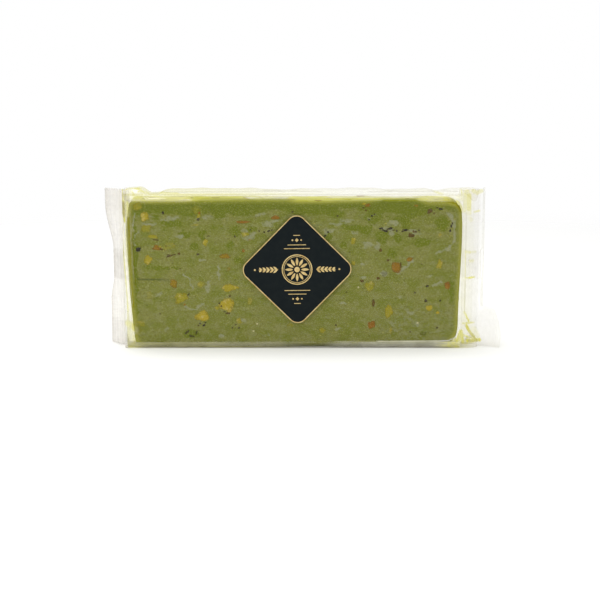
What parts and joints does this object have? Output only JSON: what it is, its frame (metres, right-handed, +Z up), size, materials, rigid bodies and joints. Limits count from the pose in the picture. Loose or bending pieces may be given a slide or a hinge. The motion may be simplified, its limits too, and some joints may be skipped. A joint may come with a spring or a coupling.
{
  "type": "nougat bar in clear film",
  "caption": "Soft pistachio nougat bar sealed in clear film with crimped end fins and a black diamond label, standing on its long edge.",
  "frame": {"origin": "middle of the underside that the bar stands on, under its film body", "axes": "+X along the bar to the right as seen from the labelled front, -Y out of the labelled front, +Z up"},
  "size_m": [0.1936, 0.0207, 0.0781],
  "materials": {
    "film": "thin clear glossy film",
    "nougat": "smooth, slightly oily soft nougat paste with chopped nuts",
    "label": "black paper sticker with gold print"
  },
  "bodies": {
    "root": {"pack": "film", "label": "label"}
  },
  "joints": []
}
